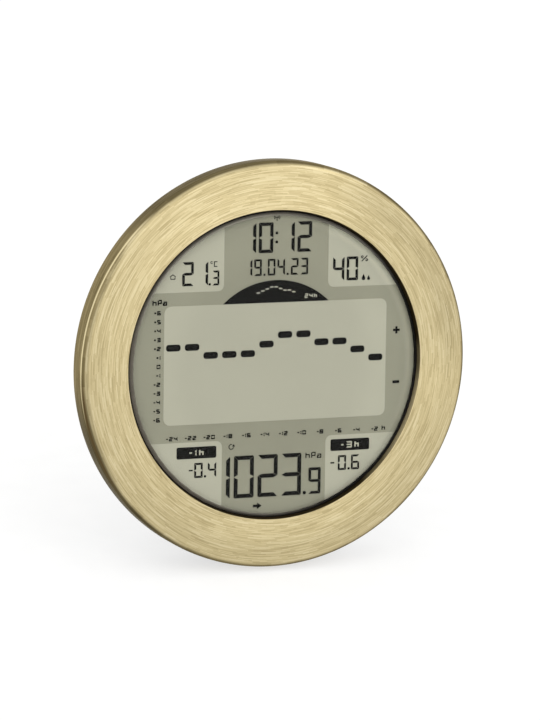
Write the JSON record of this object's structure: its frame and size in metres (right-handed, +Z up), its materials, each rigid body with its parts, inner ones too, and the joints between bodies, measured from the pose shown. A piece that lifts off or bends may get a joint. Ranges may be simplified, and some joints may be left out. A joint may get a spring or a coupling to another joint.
{
  "type": "table clock",
  "caption": "Round table clock with a liquid crystal face in a brushed metal ring, leaning back on a folding rear leg, with rear keys and a battery bay.",
  "frame": {"origin": "middle of the object's footprint on the table, at the table's surface", "axes": "+X to the right as seen from the front, +Y from the face towards the back, +Z up"},
  "size_m": [0.1996, 0.068, 0.197],
  "materials": {
    "ring_metal": "pale gold, brushed round the ring",
    "case_plastic": "black, fine spark-eroded texture",
    "lens_clear": "clear, polished",
    "display_film": "grey-green, semi-gloss",
    "display_glass": "clear with a green-grey tint",
    "reflector_foil": "diffuse foil",
    "inner_plastic": "natural white",
    "soft_rubber": "matt dark grey",
    "circuit_board": "green solder mask",
    "chip_resin": "black epoxy",
    "screw_steel": "zinc plated",
    "contact_nickel": "nickel plated, satin",
    "ferrite": "sintered, dark grey",
    "coil_copper": "enamelled winding",
    "cell_jacket": "plain printed sleeve",
    "lead_red": "insulated lead, satin",
    "lead_black": "insulated lead, satin"
  },
  "bodies": {
    "case": {"bezel_ring": "ring_metal", "front_housing": "case_plastic", "display_lens": "lens_clear", "lcd_front_polariser": "display_film", "lcd_front_glass": "display_glass", "lcd_rear_glass": "display_glass", "lcd_reflector": "reflector_foil", "lcd_backing_frame": "inner_plastic", "zebra_strip_top": "soft_rubber", "zebra_strip_bottom": "soft_rubber", "main_pcb": "circuit_board", "board_screw_1": "screw_steel", "board_screw_2": "screw_steel", "board_screw_3": "screw_steel", "board_screw_4": "screw_steel", "controller_chip": "chip_resin", "display_driver_chip": "chip_resin", "watch_crystal": "contact_nickel", "reservoir_capacitor": "chip_resin", "pressure_sensor": "screw_steel", "humidity_sensor": "inner_plastic", "receiver_board": "circuit_board", "ferrite_rod": "ferrite", "antenna_coil": "coil_copper", "antenna_holder": "inner_plastic", "tact_switch_1": "screw_steel", "tact_switch_2": "screw_steel", "tact_switch_3": "screw_steel", "tact_switch_4": "screw_steel", "tact_switch_5": "screw_steel", "rear_cover": "case_plastic", "case_screw_1": "screw_steel", "case_screw_2": "screw_steel", "case_screw_3": "screw_steel", "case_screw_4": "screw_steel", "aa_cell_upper": "cell_jacket", "aa_cell_lower": "cell_jacket", "positive_contact": "contact_nickel", "negative_contact": "contact_nickel", "bridge_contact": "contact_nickel", "battery_lead_red": "lead_red", "battery_lead_black": "lead_black", "stand_hinge_pin": "screw_steel"},
    "stand": {"stand_leg": "case_plastic", "stand_foot_pad": "soft_rubber"},
    "door": {"battery_door": "case_plastic"},
    "set_key": {"set_button": "case_plastic", "switch_plunger_1": "chip_resin"},
    "down_key": {"down_button": "case_plastic", "switch_plunger_2": "chip_resin"},
    "history_key": {"history_button": "case_plastic", "switch_plunger_3": "chip_resin"},
    "up_key": {"up_button": "case_plastic", "switch_plunger_4": "chip_resin"},
    "receive_key": {"receive_button": "case_plastic", "switch_plunger_5": "chip_resin"}
  },
  "joints": [
    {"name": "stand_fold", "type": "hinge", "parent": "case", "child": "stand", "pos_m": [0, 0.00728, 0.06697], "axis": [1, 0, 0], "range_deg": [-22, 0]},
    {"name": "door_swing", "type": "hinge", "parent": "case", "child": "door", "pos_m": [0, 0.01656, 0.10319], "axis": [-1, 0, 0], "range_deg": [0, 75]},
    {"name": "set_press", "type": "slide", "parent": "case", "child": "set_key", "axis": [0, -0.9781, 0.2079], "range_m": [0, 0.0006], "stiffness_N_per_m": 250},
    {"name": "down_press", "type": "slide", "parent": "case", "child": "down_key", "axis": [0, -0.9781, 0.2079], "range_m": [0, 0.0006], "stiffness_N_per_m": 250},
    {"name": "history_press", "type": "slide", "parent": "case", "child": "history_key", "axis": [0, -0.9781, 0.2079], "range_m": [0, 0.0006], "stiffness_N_per_m": 250},
    {"name": "up_press", "type": "slide", "parent": "case", "child": "up_key", "axis": [0, -0.9781, 0.2079], "range_m": [0, 0.0006], "stiffness_N_per_m": 250},
    {"name": "receive_press", "type": "slide", "parent": "case", "child": "receive_key", "axis": [0, -0.9781, 0.2079], "range_m": [0, 0.0006], "stiffness_N_per_m": 250}
  ]
}
